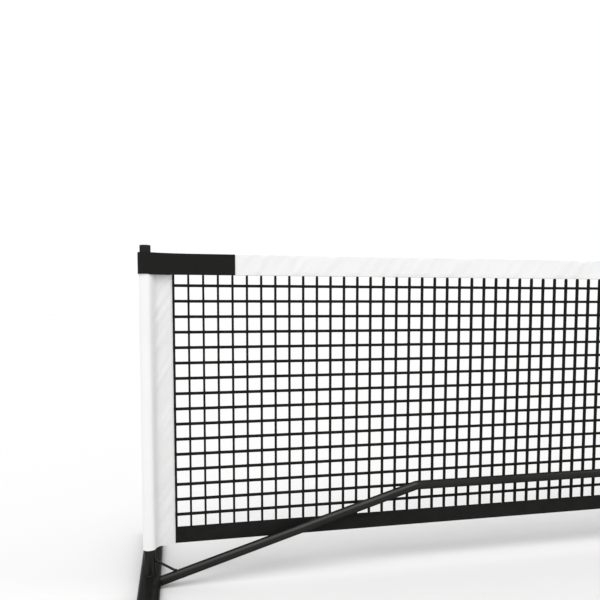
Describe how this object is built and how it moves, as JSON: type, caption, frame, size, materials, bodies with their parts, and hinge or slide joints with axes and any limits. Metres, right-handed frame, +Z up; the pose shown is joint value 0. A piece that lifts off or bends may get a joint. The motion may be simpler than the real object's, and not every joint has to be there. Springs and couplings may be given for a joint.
{
  "type": "portable court net",
  "caption": "Free-standing low court net: black mesh with white tape and side sleeves, on a black tube frame with cross feet and a raised rail.",
  "frame": {"origin": "on the ground, under the middle of the net", "axes": "+X along the net to the right-hand post, +Y to the rear, the side the net hangs on, +Z up"},
  "size_m": [6.755, 0.808, 0.933],
  "materials": {
    "black steel": "satin black powder coat",
    "spring steel": "zinc plated",
    "black plastic": "moulded, satin",
    "black rubber": "moulded, dull",
    "fibreglass": "smooth black rod",
    "white cloth": "coated white polyester",
    "net twine": "black knotless twine and hem tape",
    "black webbing": "woven black webbing",
    "white webbing": "woven white webbing",
    "cord": "white braided cord"
  },
  "bodies": {
    "net_and_frame": {"left_foot_bar": "black steel", "left_foot_cap_front": "black rubber", "left_foot_cap_rear": "black rubber", "middle_foot_bar": "black steel", "middle_foot_cap_front": "black rubber", "middle_foot_cap_rear": "black rubber", "right_foot_bar": "black steel", "right_foot_cap_front": "black rubber", "right_foot_cap_rear": "black rubber", "left_lower_post": "black steel", "left_upper_post": "black steel", "left_rail_spigot": "black steel", "left_gusset_rod": "black steel", "left_bent_rail": "black steel", "left_outer_rail": "black steel", "left_inner_rail": "black steel", "left_post_cap": "black plastic", "left_side_sleeve": "white cloth", "left_corner_band": "black webbing", "right_lower_post": "black steel", "right_upper_post": "black steel", "right_rail_spigot": "black steel", "right_gusset_rod": "black steel", "right_bent_rail": "black steel", "right_outer_rail": "black steel", "right_inner_rail": "black steel", "right_post_cap": "black plastic", "right_side_sleeve": "white cloth", "right_corner_band": "black webbing", "middle_leg": "black steel", "middle_hub": "black steel", "strap_anchor": "black steel", "stay_rod_socket": "black steel", "stay_rod": "fibreglass", "stay_rod_cap": "black plastic", "top_tape": "white cloth", "bottom_hem": "net twine", "net_mesh": "net twine", "top_cord": "cord", "hem_cord": "cord", "middle_strap": "white webbing"},
    "left_post_button": {"left_post_button": "spring steel"},
    "left_foot_button": {"left_foot_button": "spring steel"},
    "left_knee_button": {"left_knee_button": "spring steel"},
    "left_rail_button": {"left_rail_button": "spring steel"},
    "left_hub_button": {"left_hub_button": "spring steel"},
    "right_post_button": {"right_post_button": "spring steel"},
    "right_foot_button": {"right_foot_button": "spring steel"},
    "right_knee_button": {"right_knee_button": "spring steel"},
    "right_rail_button": {"right_rail_button": "spring steel"},
    "right_hub_button": {"right_hub_button": "spring steel"},
    "strap_slider": {"strap_slider": "black plastic"}
  },
  "joints": [
    {"name": "left_post_button_press", "type": "slide", "parent": "net_and_frame", "child": "left_post_button", "axis": [0.7071, 0.7071, 0], "range_m": [-0.0036, 0], "stiffness_N_per_m": 2500, "springref_m": 0.001},
    {"name": "left_foot_button_press", "type": "slide", "parent": "net_and_frame", "child": "left_foot_button", "axis": [0.2843, 0, -0.9587], "range_m": [-0.0036, 0], "stiffness_N_per_m": 2500, "springref_m": 0.001},
    {"name": "left_knee_button_press", "type": "slide", "parent": "net_and_frame", "child": "left_knee_button", "axis": [0, -1, 0], "range_m": [-0.0036, 0], "stiffness_N_per_m": 2500, "springref_m": 0.001},
    {"name": "left_rail_button_press", "type": "slide", "parent": "net_and_frame", "child": "left_rail_button", "axis": [0, -1, 0], "range_m": [-0.0036, 0], "stiffness_N_per_m": 2500, "springref_m": 0.001},
    {"name": "left_hub_button_press", "type": "slide", "parent": "net_and_frame", "child": "left_hub_button", "axis": [0, -1, 0], "range_m": [-0.0036, 0], "stiffness_N_per_m": 2500, "springref_m": 0.001},
    {"name": "right_post_button_press", "type": "slide", "parent": "net_and_frame", "child": "right_post_button", "axis": [-0.7071, 0.7071, 0], "range_m": [-0.0036, 0], "stiffness_N_per_m": 2500, "springref_m": 0.001},
    {"name": "right_foot_button_press", "type": "slide", "parent": "net_and_frame", "child": "right_foot_button", "axis": [-0.2843, 0, -0.9587], "range_m": [-0.0036, 0], "stiffness_N_per_m": 2500, "springref_m": 0.001},
    {"name": "right_knee_button_press", "type": "slide", "parent": "net_and_frame", "child": "right_knee_button", "axis": [0, -1, 0], "range_m": [-0.0036, 0], "stiffness_N_per_m": 2500, "springref_m": 0.001},
    {"name": "right_rail_button_press", "type": "slide", "parent": "net_and_frame", "child": "right_rail_button", "axis": [0, -1, 0], "range_m": [-0.0036, 0], "stiffness_N_per_m": 2500, "springref_m": 0.001},
    {"name": "right_hub_button_press", "type": "slide", "parent": "net_and_frame", "child": "right_hub_button", "axis": [0, -1, 0], "range_m": [-0.0036, 0], "stiffness_N_per_m": 2500, "springref_m": 0.001},
    {"name": "strap_slider_slide", "type": "slide", "parent": "net_and_frame", "child": "strap_slider", "axis": [0, 0, 1], "range_m": [-0.27, 0.3]}
  ]
}
